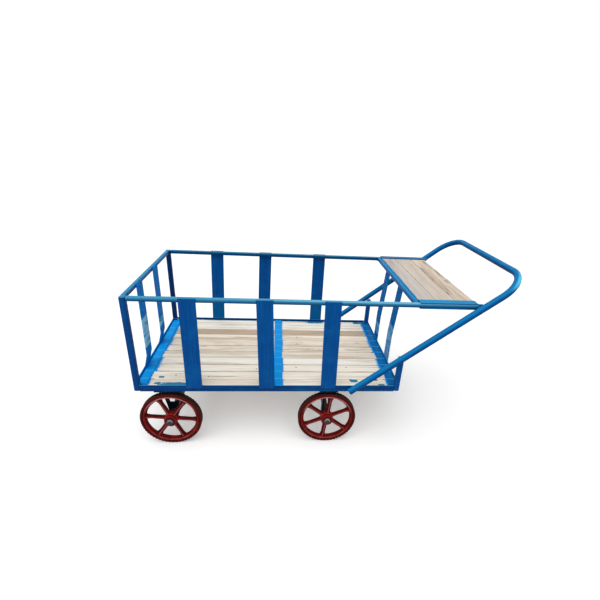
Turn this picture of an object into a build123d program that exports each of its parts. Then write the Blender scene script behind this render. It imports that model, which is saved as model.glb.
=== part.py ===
from build123d import *
import os
from math import cos, radians, sin, tan

os.makedirs("parts", exist_ok=True)

# All sizes are millimetres. X runs along the cart towards the push handle, Y from the near
# side to the far side, Z up from the floor.

# Deck frame: equal angle iron, one leg upright on the outside, the other flat under the boards
deck_length = 1200.0
deck_width = 724.0
angle_leg = 32.0
angle_wall = 4.0

# Deck: boards along the cart, with flat bars across them at both ends and near the middle
board_count = 11
board_thickness = 16.0
board_gap = 2.0
board_end_gap = 2.0
strip_width = 40.0
strip_thickness = 4.0
middle_strip_place = 632.0

# Cage: square posts, square top rails and flat slats
cage_height = 448.0
post_size = 25.0
top_rail_size = 20.0
slat_width = 70.0
slat_thickness = 5.0
slat_lap = 10.0
end_rail_overhang = 25.0
# place of the slat's foot, place of its head
near_slat_places = [(262.0, 262.0), (582.0, 571.0), (862.0, 854.0)]
far_slat_places = [(268.0, 279.0), (543.0, 552.0), (864.0, 864.0)]
left_slat_places = [185.0, 420.0]
right_slat_places = [268.0, 504.0]
left_slat_bend_height = 95.0
right_slat_bend_height = 170.0
right_slat_lean = 18.0

# Push handle: one tube bent into a hoop, its legs welded outside the frame and the top rails
tube_diameter = 30.0
tube_bore = 25.0
tube_bore_depth = 40.0
handle_slope = 38.6
handle_overrun = 311.0
handle_reach = 196.0
handle_bend_radius = 121.0
handle_foot_height = 8.0
weld_gap = 0.3

# Shelf: short boards across the cart between the top rails, clamped by flat bars
shelf_board_edges = [0.0, 82.0, 170.0, 256.0]
shelf_bar_width = 40.0
shelf_bar_thickness = 4.0

# Wheels: cast six-spoke wheels with a solid rubber tyre
wheel_radius = 139.0
tyre_thickness = 9.0
wheel_width = 32.0
spoke_count = 6
rim_inner_radius = 111.0
rim_side_recess = 2.0
hub_radius = 20.0
hub_outer_reach = 14.0
hub_inner_reach = 10.0
casting_bite = 2.0

# Spokes: a flat web in the wheel's plane with a rib across it, both flaring at hub and rim
spoke_thickness = 8.0
hub_flare_radius = 38.0
rim_flare_length = 20.0
web_hub_width = 30.0
web_inner_waist = 21.0
web_outer_waist = 19.0
web_rim_width = 28.0
rib_hub_width = 50.0
rib_inner_waist = 22.0
rib_outer_waist = 18.0
rib_rim_width = 26.0

# Axles: square bars with turned ends, and a bolt and washer to hold each wheel on
axle_drop = 158.0
left_axle_place = 142.0
right_axle_place = 869.0
axle_bar_size = 25.0
axle_diameter = 20.0
bore_clearance = 0.08
end_clearance = 0.5
washer_diameter = 32.0
washer_thickness = 3.0
bolt_head_flats = 24.0
bolt_head_height = 10.0

# Hangers: a plate under the side rail and a strap bent round the axle bar
hanger_place = 70.0
hanger_width = 30.0
plate_depth = 100.0
plate_thickness = 6.0
left_plate_length = 118.0
right_plate_length = 84.0
strap_thickness = 8.0
left_strap_spread = 45.0
right_strap_spread = 9.0

# Cross bearers under the boards
bearer_leg = 20.0

# Places worked out from the sizes above
frame_underside = axle_drop + wheel_radius
deck_top = angle_wall + board_thickness
strip_top = deck_top + strip_thickness
inner_width = deck_width - 2 * angle_wall
end_rail_outer = deck_length + end_rail_overhang
end_rail_inner = end_rail_outer - top_rail_size
rail_underside = cage_height - top_rail_size
tube_radius = tube_diameter / 2
tube_offset = tube_radius + weld_gap
slope = radians(handle_slope)
handle_cross_place = deck_length + handle_overrun
hoop_end = handle_cross_place + handle_reach * cos(slope)
hoop_tip = hoop_end + tube_radius
overall_left = 0.0
origin_x = (overall_left + hoop_tip) / 2
origin_y = deck_width / 2


def block(x0, x1, y0, y1, z0, z1):
    """A box between two corners, its heights measured from the frame's underside."""
    return Pos(x0, y0, z0) * Box(x1 - x0, y1 - y0, z1 - z0, align=(Align.MIN, Align.MIN, Align.MIN))


def far_side(shape):
    """The same piece on the far side, mirrored about the cart's middle plane."""
    return Pos(0, deck_width, 0) * mirror(shape, about=Plane.XZ)


def prism_along_y(points, y0, y1):
    """A solid with an outline in X and Z, from y0 to y1."""
    face = make_face(Polyline(*[(x, 0, z) for x, z in points], close=True))
    solid = extrude(face, amount=y1 - y0, dir=(0, 1, 0))
    return Pos(0, y0, 0) * solid


def save(name, shape):
    """Move a piece from the deck's corner to the part's origin and write it."""
    placed = Pos(-origin_x, -origin_y, frame_underside) * shape
    placed.label = name
    export_step(placed, f"parts/{name}.step")


def save_group(name, pieces):
    save(name, Compound(children=list(pieces)))


# Bottom frame
def side_rail():
    upright = block(post_size, deck_length - post_size, 0, angle_wall, 0, angle_leg)
    flat = block(post_size, deck_length - post_size, angle_wall, angle_leg, 0, angle_wall)
    return upright + flat


def end_rail_bottom():
    upright = block(0, angle_wall, post_size, deck_width - post_size, 0, angle_leg)
    flat = block(angle_wall, angle_leg, angle_leg, deck_width - angle_leg, 0, angle_wall)
    return upright + flat


def bearer(x):
    """A cross angle with its flat leg level with the side rails' flat legs."""
    flat = block(x, x + bearer_leg, angle_leg, deck_width - angle_leg, 0, angle_wall)
    web = block(x, x + angle_wall, angle_leg, deck_width - angle_leg, -bearer_leg + angle_wall, 0)
    return flat + web


save("bottom_rail_near", side_rail())
save("bottom_rail_far", far_side(side_rail()))
save("bottom_rail_left", end_rail_bottom())
save("bottom_rail_right", Pos(deck_length, 0, 0) * mirror(end_rail_bottom(), about=Plane.YZ))

# name, place of the web's left face
bearer_places = [
    ("left", left_axle_place - left_plate_length / 2 - angle_wall),
    ("middle", middle_strip_place - bearer_leg / 2),
    ("right", right_axle_place - right_plate_length / 2 - angle_wall),
]
for name, place in bearer_places:
    save(f"cross_bearer_{name}", bearer(place))


# Deck boards, notched round the posts at the corners
def deck_boards():
    first = angle_wall + board_gap / 2
    pitch = inner_width / board_count
    x0 = angle_wall + board_end_gap
    x1 = deck_length - angle_wall - board_end_gap
    corner = post_size + board_gap
    boards = []
    for index in range(board_count):
        y0 = first + index * pitch
        y1 = y0 + pitch - board_gap
        board = block(x0, x1, y0, y1, angle_wall, deck_top)
        for cx0, cx1 in ((0, corner), (deck_length - corner, deck_length)):
            for cy0, cy1 in ((0, corner), (deck_width - corner, deck_width)):
                board -= block(cx0, cx1, cy0, cy1, 0, deck_top)
        boards.append(board)
    return boards


save_group("deck_boards", deck_boards())


def strip(x0, y0, y1):
    return block(x0, x0 + strip_width, y0, y1, deck_top, strip_top)


end_strip_y = (post_size, deck_width - post_size)
save("deck_strip_left", strip(angle_wall + slat_thickness, *end_strip_y))
save("deck_strip_middle", strip(middle_strip_place - strip_width / 2, angle_wall, deck_width - angle_wall))
save("deck_strip_right", strip(deck_length - angle_wall - strip_width, *end_strip_y))


# Cage posts: full height at the left, cut off where the handle tube passes at the right
def full_post():
    return block(0, post_size, 0, post_size, 0, cage_height)


def tube_height(x):
    """Height of the handle leg's axis above the frame's underside."""
    return cage_height - (handle_cross_place - x) * tan(slope)


def short_post():
    left = deck_length - post_size
    return block(left, deck_length, 0, post_size, 0, tube_height(left))


save("post_near_left", full_post())
save("post_far_left", far_side(full_post()))
save("post_near_right", short_post())
save("post_far_right", far_side(short_post()))


# Top rails
def top_rail(x0, x1, y0, y1):
    return block(x0, x1, y0, y1, rail_underside, cage_height)


def side_top_rail():
    """A side rail that runs from the left post to the handle leg, where it is cut along the slope."""
    cut_low = handle_cross_place - top_rail_size / tan(slope)
    points = [(post_size, rail_underside), (cut_low, rail_underside)]
    points += [(handle_cross_place, cage_height), (post_size, cage_height)]
    return prism_along_y(points, 0, top_rail_size)


save("top_rail_near", side_top_rail())
save("top_rail_far", far_side(side_top_rail()))
save("top_rail_left", top_rail(0, top_rail_size, post_size, deck_width - post_size))
save("top_rail_right", top_rail(end_rail_inner, end_rail_outer, top_rail_size, deck_width - top_rail_size))


# Slats, welded outside the long sides and between the rails at the ends
def side_slat(foot, head):
    half = slat_width / 2
    low, high = angle_leg - slat_lap, cage_height
    points = [(foot - half, low), (foot + half, low), (head + half, high), (head - half, high)]
    return prism_along_y(points, -slat_thickness, 0)


def bent_slat(y, line):
    """An end slat whose outer face follows a line of points in X and Z from its foot to its head."""
    inner_line = [(x + slat_thickness, z) for x, z in line]
    return prism_along_y(line + inner_line[::-1], y - slat_width / 2, y + slat_width / 2)


left_slat_line = [
    (angle_wall, deck_top),
    (angle_wall, angle_leg),
    (top_rail_size, left_slat_bend_height),
    (top_rail_size, cage_height),
]
right_slat_line = [
    (deck_length, angle_leg - slat_lap),
    (deck_length, right_slat_bend_height),
    (deck_length + right_slat_lean, rail_underside),
]
save_group("slats_near", [side_slat(foot, head) for foot, head in near_slat_places])
save_group("slats_far", [far_side(side_slat(foot, head)) for foot, head in far_slat_places])
save_group("slats_left", [bent_slat(y, left_slat_line) for y in left_slat_places])
save_group("slats_right", [bent_slat(y, right_slat_line) for y in right_slat_places])


# Push handle
def handle():
    """A hoop drawn flat, with its cross part at the origin, then tilted to the handle's slope."""
    foot_run = (tube_height(handle_cross_place) - handle_foot_height) / sin(slope)
    near = -tube_offset
    far = deck_width + tube_offset
    bend = handle_bend_radius
    path = FilletPolyline(
        (-foot_run, near, 0),
        (handle_reach, near, 0),
        (handle_reach, far, 0),
        (-foot_run, far, 0),
        radius=bend,
    )
    section = Plane(origin=(-foot_run, near, 0), z_dir=(1, 0, 0)) * Circle(tube_radius)
    hoop = sweep(section, path=path)
    for y in (near, far):
        bore = Plane(origin=(-foot_run, y, 0), z_dir=(1, 0, 0)) * Circle(tube_bore / 2)
        hoop -= extrude(bore, amount=tube_bore_depth)
    return Pos(handle_cross_place, 0, cage_height) * Rot(0, -handle_slope, 0) * hoop


save("handle_tube", handle())

# Shelf
shelf_left = end_rail_outer
shelf_right = shelf_left + shelf_board_edges[-1]


def shelf_bar(z0):
    return block(shelf_left, shelf_right, 0, shelf_bar_width, z0, z0 + shelf_bar_thickness)


def shelf_boards():
    boards = []
    for left, right in zip(shelf_board_edges[:-1], shelf_board_edges[1:]):
        x0 = shelf_left + left + board_gap / 2
        x1 = shelf_left + right - board_gap / 2
        y0 = top_rail_size + board_gap / 2
        boards.append(block(x0, x1, y0, deck_width - y0, rail_underside, cage_height))
    return boards


save("shelf_strip_near", shelf_bar(cage_height))
save("shelf_strip_far", far_side(shelf_bar(cage_height)))
save("shelf_bearer_near", shelf_bar(rail_underside - shelf_bar_thickness))
save("shelf_bearer_far", far_side(shelf_bar(rail_underside - shelf_bar_thickness)))
save_group("shelf_boards", shelf_boards())


# Wheels, drawn at their own centre with the outer face at y = 0 and the inner face beyond it
def ring(profile_points):
    """A solid of revolution about Y from an outline of radius and y."""
    face = make_face(Polyline(*[(r, y, 0) for r, y in profile_points], close=True))
    return revolve(face, axis=Axis.Y)


def rim():
    outer = wheel_radius - tyre_thickness
    side = rim_side_recess
    return ring([
        (rim_inner_radius, side),
        (outer, side),
        (outer, wheel_width - side),
        (rim_inner_radius, wheel_width - side),
    ])


def hub():
    length = hub_outer_reach + wheel_width + hub_inner_reach
    return Pos(0, length / 2 - hub_outer_reach, 0) * Rot(90, 0, 0) * Cylinder(hub_radius, length)


def spoke_plate(widths):
    """A flat plate along +X with its width given at the hub, the two waists and the rim."""
    places = [
        axle_diameter / 2 + bore_clearance + casting_bite,
        hub_flare_radius,
        rim_inner_radius - rim_flare_length,
        rim_inner_radius + casting_bite,
    ]
    edge = [(x, width / 2) for x, width in zip(places, widths)]
    outline = edge + [(x, -y) for x, y in reversed(edge)]
    return extrude(make_face(Polyline(*outline, close=True)), amount=spoke_thickness / 2, both=True)


def spoke():
    web = spoke_plate([web_hub_width, web_inner_waist, web_outer_waist, web_rim_width])
    rib = spoke_plate([rib_hub_width, rib_inner_waist, rib_outer_waist, rib_rim_width])
    return Pos(0, wheel_width / 2, 0) * (rib + Rot(90, 0, 0) * web)


def spoked_wheel():
    casting = rim() + hub()
    one = spoke()
    for index in range(spoke_count):
        casting += Rot(0, index * 360 / spoke_count, 0) * one
    through = 2 * (hub_outer_reach + wheel_width + hub_inner_reach)
    return casting - Rot(90, 0, 0) * Cylinder(axle_diameter / 2 + bore_clearance, through)


def tyre():
    inner = wheel_radius - tyre_thickness
    return ring([(inner, 0), (wheel_radius, 0), (wheel_radius, wheel_width), (inner, wheel_width)])


casting = spoked_wheel()
tread_ring = tyre()
# place of the axle, its name, turn of the spokes about the axle
axle_table = [("left", left_axle_place, 5.0), ("right", right_axle_place, 37.0)]
for name, place, turn in axle_table:
    here = Pos(place, 0, -axle_drop) * Rot(0, turn, 0)
    save(f"wheel_near_{name}", here * casting)
    save(f"tyre_near_{name}", here * tread_ring)
    save(f"wheel_far_{name}", far_side(here * casting))
    save(f"tyre_far_{name}", far_side(here * tread_ring))


def rod(diameter, y0, y1):
    """A round bar along Y from y0 to y1."""
    return Pos(0, (y0 + y1) / 2, 0) * Rot(90, 0, 0) * Cylinder(diameter / 2, y1 - y0)


# Axles: the wheel turns on a round end between the bar's shoulder and the washer
journal_end = -hub_outer_reach - end_clearance
shoulder_place = wheel_width + hub_inner_reach + end_clearance


def axle():
    half = axle_bar_size / 2
    bar = block(-half, half, shoulder_place, deck_width - shoulder_place, -half, half)
    journal = rod(axle_diameter, journal_end, shoulder_place)
    return bar + journal + far_side(journal)


def bolt_and_washer():
    washer_face = journal_end - washer_thickness
    washer = rod(washer_diameter, washer_face, journal_end)
    outline = RegularPolygon(bolt_head_flats / 2, 6, major_radius=False)
    head = Pos(0, washer_face, 0) * Rot(90, 0, 0) * extrude(outline, amount=bolt_head_height)
    return washer + head


def hanger(plate_length, spread):
    """A plate under the side rail, and a strap whose legs spread by this much to each side at the plate."""
    plate = block(-plate_length / 2, plate_length / 2, 0, plate_depth, -plate_thickness, 0)
    bar = axle_bar_size / 2
    half = strap_thickness / 2
    right_outside = [
        (spread + half, -plate_thickness),
        (bar + strap_thickness, bar - axle_drop),
        (bar + strap_thickness, -bar - strap_thickness - axle_drop),
    ]
    right_inside = [
        (spread - half, -plate_thickness),
        (bar, bar - axle_drop),
        (bar, -bar - axle_drop),
    ]
    left_outside = [(-x, z) for x, z in reversed(right_outside)]
    left_inside = [(-x, z) for x, z in right_inside]
    outline = right_outside + left_outside + left_inside + right_inside[::-1]
    y0 = hanger_place - hanger_width / 2
    return plate + prism_along_y(outline, y0, y0 + hanger_width)


# name, place of the axle, plate length, half the spread of the strap's legs at the plate
hanger_table = [
    ("left", left_axle_place, left_plate_length, left_strap_spread),
    ("right", right_axle_place, right_plate_length, right_strap_spread),
]
for name, place, plate_length, spread in hanger_table:
    here = Pos(place, 0, 0)
    save(f"hanger_near_{name}", here * hanger(plate_length, spread))
    save(f"hanger_far_{name}", far_side(here * hanger(plate_length, spread)))
    at_axle = Pos(place, 0, -axle_drop)
    save(f"axle_{name}", at_axle * axle())
    bolts = at_axle * bolt_and_washer()
    save_group(f"axle_bolts_{name}", [bolts, far_side(bolts)])
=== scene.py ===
from functools import partial, reduce
from math import cos, pi, radians, sin, tan

import bpy
from mathutils import Matrix, Vector


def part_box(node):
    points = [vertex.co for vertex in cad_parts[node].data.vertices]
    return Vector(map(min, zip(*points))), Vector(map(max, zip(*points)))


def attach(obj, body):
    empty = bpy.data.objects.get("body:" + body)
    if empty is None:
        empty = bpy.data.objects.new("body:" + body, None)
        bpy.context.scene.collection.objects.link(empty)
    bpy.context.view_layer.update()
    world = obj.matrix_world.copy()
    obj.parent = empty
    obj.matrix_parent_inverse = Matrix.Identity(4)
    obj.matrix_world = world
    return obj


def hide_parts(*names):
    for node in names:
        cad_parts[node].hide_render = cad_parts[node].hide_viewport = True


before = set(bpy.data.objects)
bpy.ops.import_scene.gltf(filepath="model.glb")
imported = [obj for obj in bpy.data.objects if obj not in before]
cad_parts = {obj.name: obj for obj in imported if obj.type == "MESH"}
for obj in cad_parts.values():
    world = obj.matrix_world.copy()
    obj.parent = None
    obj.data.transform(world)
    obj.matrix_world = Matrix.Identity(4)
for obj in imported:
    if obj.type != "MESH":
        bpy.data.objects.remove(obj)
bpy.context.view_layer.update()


# Bottom frame: four lengths of equal angle iron, mitred by eye and stick-welded to the corner
# posts, with one leg upright on the outside and the other turned in to carry the boards.
# Three lighter angles cross under the boards. All of it is brushed with blue gloss paint.
angle_edge_radius = 0.0012


def pick(*objects):
    """Selects only these objects and makes the last one active."""
    if bpy.context.object and bpy.context.object.mode != "OBJECT":
        bpy.ops.object.mode_set(mode="OBJECT")
    bpy.ops.object.select_all(action="DESELECT")
    for obj in objects:
        obj.select_set(True)
        bpy.context.view_layer.objects.active = obj


def add(name, data):
    """A new object in the scene."""
    obj = bpy.data.objects.new(name, data)
    bpy.context.collection.objects.link(obj)
    return obj


def select_all():
    bpy.ops.mesh.select_all(action="SELECT")


def edit_all():
    """Opens the picked mesh with all of it selected."""
    bpy.ops.object.mode_set(mode="EDIT")
    select_all()


def stock(name, node):
    """A merged copy of a CAD node's mesh with flat faces, as cut from the bar and ready to be worked."""
    obj = add(name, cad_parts[node].data.copy())
    obj.data.materials.clear()
    pick(obj)
    edit_all()
    bpy.ops.mesh.customdata_custom_splitnormals_clear()
    bpy.ops.mesh.remove_doubles(threshold=0.00001)
    bpy.ops.mesh.dissolve_limited(angle_limit=radians(1))
    bpy.ops.object.mode_set(mode="OBJECT")
    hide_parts(node)
    return obj


def work(obj, kind, **settings):
    """Changes a piece's mesh by one modifier with these settings."""
    modifier = obj.modifiers.new(kind, kind)
    for key, value in settings.items():
        setattr(modifier, key, value)
    pick(obj)
    bpy.ops.object.modifier_apply(modifier=modifier.name)


def round_edges(obj, radius, segments=2, angle=30):
    for polygon in obj.data.polygons:
        polygon.use_smooth = True
    work(obj, "BEVEL", width=radius, segments=segments, limit_method="ANGLE",
         angle_limit=radians(angle), harden_normals=True)


def fit(obj, material, body="cart"):
    """Gives a finished piece its material and the body that it moves with."""
    obj.data.materials.clear()
    obj.data.materials.append(material)
    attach(obj, body)


def link_or_set(socket, value):
    """Links or sets a shader socket. A colour is given as its red, green and blue."""
    if isinstance(value, bpy.types.NodeSocket):
        socket.id_data.links.new(value, socket)
    else:
        socket.default_value = (*value, 1) if socket.type == "RGBA" else value


def feed(sockets, **values):
    """Links or sets sockets by their names, with an underscore for each space."""
    for key, value in values.items():
        link_or_set(sockets[key.replace("_", " ")], value)


def put(tree, kind, settings=None, **inputs):
    """Adds a shader node with its settings and its inputs."""
    node = tree.nodes.new("ShaderNode" + kind)
    for key, value in (settings or {}).items():
        setattr(node, key, value)
    feed(node.inputs, **inputs)
    return node


def calc(operation, *values, clamp=False):
    """Works on numbers, in the node tree that the first linked one comes from."""
    tree = next(value.id_data for value in values if isinstance(value, bpy.types.NodeSocket))
    node = put(tree, "Math", {"operation": operation, "use_clamp": clamp})
    for socket, value in zip(node.inputs, values):
        link_or_set(socket, value)
    return node.outputs[0]


times = partial(calc, "MULTIPLY")
plus = partial(calc, "ADD")
minus = partial(calc, "SUBTRACT")
larger = partial(calc, "MAXIMUM")


def mixed(amount, first, second):
    """Two colours mixed by an amount."""
    node = put(amount.id_data, "Mix", {"data_type": "RGBA"})
    for index, value in ((0, amount), (6, first), (7, second)):
        link_or_set(node.inputs[index], value)
    return node.outputs[2]


def spread(value, low, high):
    """A mask that climbs smoothly from 0 at low to 1 at high."""
    return put(value.id_data, "MapRange", {"interpolation_type": "SMOOTHSTEP"},
               Value=value, From_Min=low, From_Max=high).outputs[0]


def speckle(vector, scale, detail=3.0, roughness=0.55, distortion=0.0):
    return put(vector.id_data, "TexNoise", Vector=vector, Scale=scale, Detail=detail,
               Roughness=roughness, Distortion=distortion).outputs["Fac"]


def vectors(operation, first, second):
    """Works on two vectors, of which the first comes out of a node."""
    node = put(first.id_data, "VectorMath", {"operation": operation})
    link_or_set(node.inputs[0], first)
    link_or_set(node.inputs[1], second)
    return node.outputs[0]


stretched = partial(vectors, "MULTIPLY")


def object_place(tree):
    return put(tree, "TexCoord").outputs["Object"]


def surface_normal(tree):
    return put(tree, "TexCoord").outputs["Normal"]


def parts_of(vector):
    return put(vector.id_data, "SeparateXYZ", Vector=vector).outputs


def group(name, takes, gives):
    """An empty node group, what enters it and what leaves it, with its sockets' names by kind."""
    tree = bpy.data.node_groups.new(name, "ShaderNodeTree")
    for in_out, sockets in (("INPUT", takes), ("OUTPUT", gives)):
        for kind, labels in sockets.items():
            for label in labels.split():
                tree.interface.new_socket(label, in_out=in_out, socket_type="NodeSocket" + kind)
    return tree, tree.nodes.new("NodeGroupInput").outputs, tree.nodes.new("NodeGroupOutput").inputs


def use(tree, node_group, **inputs):
    node = put(tree, "Group", {"node_tree": node_group})
    feed(node.inputs, **inputs)
    return node.outputs


def finish_material(name):
    """A new material, its node tree and its shader."""
    material = bpy.data.materials.new(name)
    material.use_nodes = True
    return material, material.node_tree, material.node_tree.nodes["Principled BSDF"]


def dress(shader, height, distance, strength, **values):
    """Gives a shader its values and its relief."""
    bump = put(shader.id_data, "Bump", Height=height, Distance=distance, Strength=strength)
    feed(shader.inputs, Normal=bump.outputs[0], **values)


# Brush marks: long streaks, thin and thick patches, and painted light: a paler sheen colour on what faces
# up as a painted highlight, and a dark blue on what faces down as painted shade
surface = {"Color": "Color", "Float": "Roughness Height"}
brush, entry, leave = group(
    "brush marks", {"Vector": "Stretch", "Color": "Deep Bright Film", "Float": "Bleach"}, surface)
place = object_place(brush)
along = stretched(place, entry["Stretch"])
streaks = speckle(along, 1.0, 5.0, 0.62)
hairs = speckle(along, 4.3, 3.0, 0.6)
patches = speckle(place, 11.0, 4.0, 0.6)
facing = parts_of(surface_normal(brush))["Z"]
# Painted highlight: faces turned up are mixed toward the sheen colour. Painted shade: faces turned down are
# mixed toward dark blue
upward = times(spread(facing, 0.15, 0.65), entry["Bleach"])
under = times(spread(times(facing, -1.0), 0.05, 0.85), 0.55)
wet = times(spread(streaks, 0.38, 0.66), 0.14)
thin = plus(wet, times(spread(patches, 0.45, 0.72), 0.12))
color = mixed(thin, entry["Deep"], entry["Bright"])
color = mixed(under, color, (0.0008, 0.030, 0.120))
rough = plus(times(hairs, 0.22), 0.24)
height = plus(times(hairs, 0.4), streaks)
feed(leave, Color=mixed(upward, color, entry["Film"]), Roughness=rough, Height=height)

# Chips and grime: bare brown spots scattered in clusters, and dust in the pores
chips, entry, leave = group("chips", {"Float": "Amount"}, {"Float": "Chip Dust"})
place = object_place(chips)
scatter = speckle(place, 95.0, 5.0, 0.65)
clusters = speckle(place, 17.0, 3.0, 0.5)
level = plus(times(scatter, 0.7), times(clusters, 0.5))
feed(leave, Chip=spread(plus(level, entry["Amount"]), 0.86, 0.90),
     Dust=spread(speckle(place, 46.0, 6.0, 0.7), 0.46, 0.78))

deep_blue = (0.0008, 0.064, 0.275)
bright_blue = (0.0080, 0.240, 0.580)
sheen_blue = (0.0550, 0.310, 0.520)
rust = (0.060, 0.026, 0.012)
dust_grey = (0.32, 0.30, 0.27)


def blue_paint(name, stretch, deep=deep_blue, bright=bright_blue, film=sheen_blue, bleach=0.85, chip=0.0,
               dust=0.02, sheen_right=None, deep_low=None):
    """Brushed gloss paint with its painted highlight and painted shade, and a brighter painted highlight to
    the right or another deep tone low down if asked.
    """
    material, tree, shader = finish_material(name)
    if sheen_right:
        film = mixed(spread(parts_of(object_place(tree))["X"], -0.60, 0.05), film, sheen_right)
    if deep_low:
        low_tone, low_z, high_z = deep_low
        deep = mixed(spread(parts_of(object_place(tree))["Z"], low_z, high_z), low_tone, deep)
    coat = use(tree, brush, Stretch=stretch, Deep=deep, Bright=bright, Film=film, Bleach=bleach)
    worn = use(tree, chips, Amount=chip)
    dusty = times(worn["Dust"], dust)
    color = mixed(worn["Chip"], mixed(dusty, coat["Color"], dust_grey), rust)
    rough = plus(coat["Roughness"], times(dusty, 0.8), clamp=True)
    dress(shader, minus(coat["Height"], worn["Chip"]), 0.0006, 0.55, Base_Color=color,
          Roughness=larger(rough, worn["Chip"]), Specular_IOR_Level=0.03)
    return material


stretch_x = (5.0, 150.0, 150.0)
stretch_y = (150.0, 5.0, 150.0)
paint_angle = blue_paint("blue gloss on the angle iron", stretch_x, deep=(0.0008, 0.034, 0.165))
paint_across = blue_paint("blue gloss brushed across the cart", stretch_y, film=(0.040, 0.285, 0.520))
# Painted light: the left angle is coloured brighter than the other angles so that its inner face shows lit
# instead of in shade
paint_left_angle = blue_paint("blue coat painted bright on the left angle", stretch_y, deep=(0.0015, 0.230, 0.660),
                              bright=(0.0040, 0.380, 0.900), film=(0.010, 0.380, 0.820))
paint_under = blue_paint("thin blue coat under the deck", stretch_y, chip=0.10, dust=0.5)

for node, paint in (
    ("bottom_rail_near", paint_angle),
    ("bottom_rail_far", paint_angle),
    ("bottom_rail_left", paint_left_angle),
    ("bottom_rail_right", paint_across),
    ("cross_bearer_left", paint_under),
    ("cross_bearer_middle", paint_under),
    ("cross_bearer_right", paint_under),
):
    angle = stock(node + "_angle", node)
    round_edges(angle, angle_edge_radius)
    fit(angle, paint)


# Deck: eleven raw softwood boards laid along the cart on the turned-in legs, sawn and not planed,
# a little cupped and warped, with blue paint dragged over them beside the painted steel.
corner, far_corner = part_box("deck_boards")
deck_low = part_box("post_near_left")[0]
board_count = 11
board_cuts = 26
board_warp = 0.0011
board_edge = 0.0013
paint_depth = 0.004
deck_across = far_corner.y - corner.y

flip = partial(calc, "SUBTRACT", 1.0)
size_of = partial(calc, "ABSOLUTE")
above = partial(calc, "GREATER_THAN")
below = partial(calc, "LESS_THAN")


def crosscut(obj, axis, count):
    """Cuts the mesh by planes at even steps along an axis, so that it can bend."""
    pick(obj)
    low = min(v.co[axis] for v in obj.data.vertices)
    high = max(v.co[axis] for v in obj.data.vertices)
    normal = [0, 0, 0]
    normal[axis] = 1
    bpy.ops.object.mode_set(mode="EDIT")
    for index in range(1, count):
        place = [0, 0, 0]
        place[axis] = low + (high - low) * index / count
        select_all()
        bpy.ops.mesh.bisect(plane_co=place, plane_no=normal)
    bpy.ops.object.mode_set(mode="OBJECT")


def deck_point(x, y, z):
    """A point given in metres from the deck frame's near left bottom corner."""
    return deck_low + Vector((x, y, z))


def warp(obj, size, strength, axis="Z"):
    """Bends a piece gently by a cloud pattern."""
    clouds = bpy.data.textures.new("warp", "CLOUDS")
    clouds.noise_scale = size
    work(obj, "DISPLACE", texture=clouds, texture_coords="LOCAL", direction=axis,
         strength=strength, mid_level=0.5)


def board_lane(place):
    """Counts the deck boards from the near side, with a fraction across each."""
    return times(minus(parts_of(place)["Y"], corner.y), board_count / deck_across)


def chance_of(number):
    """A random number for each whole number."""
    return put(number.id_data, "TexWhiteNoise", {"noise_dimensions": "1D"}, W=number).outputs["Value"]


def from_middle_of(lane):
    """How far across its board a point lies from the middle, up to a half."""
    return size_of(minus(calc("FRACT", lane), 0.5))


boards = stock("deck_planks", "deck_boards")
crosscut(boards, 0, board_cuts)
round_edges(boards, board_edge, 2, 60)
warp(boards, 0.16, board_warp)

# Sawn wood: long grain, dark shakes, knots, grey weather and saw marks across the grain
sawn, entry, leave = group(
    "sawn wood",
    {"Vector": "Grain Across", "Color": "Pale Warm Grey", "Float": "Shift Age Cracks Drift"},
    surface,
)
dark_crack = (0.10, 0.065, 0.04)
place = object_place(sawn)
along = vectors("ADD", stretched(place, entry["Grain"]), entry["Shift"])
rings = speckle(along, 1.0, 4.0, 0.6, 0.5)
fibre = speckle(along, 6.0, 4.0, 0.7)
blotch = speckle(along, 0.22, 3.0, 0.6)
band = size_of(minus(speckle(along, 0.8, 2.0, 0.5, 0.8), 0.5))
shake = flip(spread(band, 0.004, 0.022))
shake = times(shake, spread(blotch, 0.48, 0.6))
drift = spread(speckle(along, 0.33, 5.0, 0.68, 1.2), 0.50, 0.64)
specks = spread(speckle(stretched(place, (210.0, 420.0, 420.0)), 1.0, 2.0, 0.5), 0.67, 0.74)
knots = put(sawn, "TexVoronoi", Vector=along, Scale=0.55, Randomness=1.0)
knot = flip(spread(knots.outputs["Distance"], 0.05, 0.16))
saw = speckle(stretched(place, entry["Across"]), 1.0, 2.0, 0.6)
late = spread(rings, 0.47, 0.64)
color = mixed(times(late, 0.24), entry["Pale"], entry["Warm"])
weather = plus(spread(blotch, 0.42, 0.72), entry["Age"], clamp=True)
color = mixed(times(weather, 0.42), color, entry["Grey"])
color = mixed(times(spread(fibre, 0.5, 0.75), 0.18), color, entry["Warm"])
color = mixed(times(drift, entry["Drift"]), color, entry["Warm"])
color = mixed(times(shake, entry["Cracks"]), color, dark_crack)
color = mixed(times(specks, 0.35), color, dark_crack)
color = mixed(times(knot, 0.5), color, (0.16, 0.09, 0.045))
relief = minus(plus(fibre, times(saw, 0.5)), late)
relief = minus(relief, times(shake, 2.0))
feed(leave, Color=color, Roughness=plus(times(fibre, 0.25), 0.62), Height=relief)

# Dragged paint: a ragged patch round a middle point, drawn out along the grain
dragged, entry, leave = group(
    "dragged paint", {"Vector": "Middle Reach", "Float": "Ragged"}, {"Float": "Mask"})
place = object_place(dragged)
parts = parts_of(vectors("DIVIDE", vectors("SUBTRACT", place, entry["Middle"]), entry["Reach"]))
far = reduce(plus, [calc("POWER", size_of(parts[axis]), 4.0) for axis in "XYZ"])
far = calc("POWER", far, 0.25)
ragged = speckle(stretched(place, (34.0, 150.0, 60.0)), 1.0, 4.0, 0.7)
edge = times(minus(ragged, 0.5), entry["Ragged"])
feed(leave, Mask=flip(spread(plus(far, edge), 0.97, 1.03)))

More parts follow.
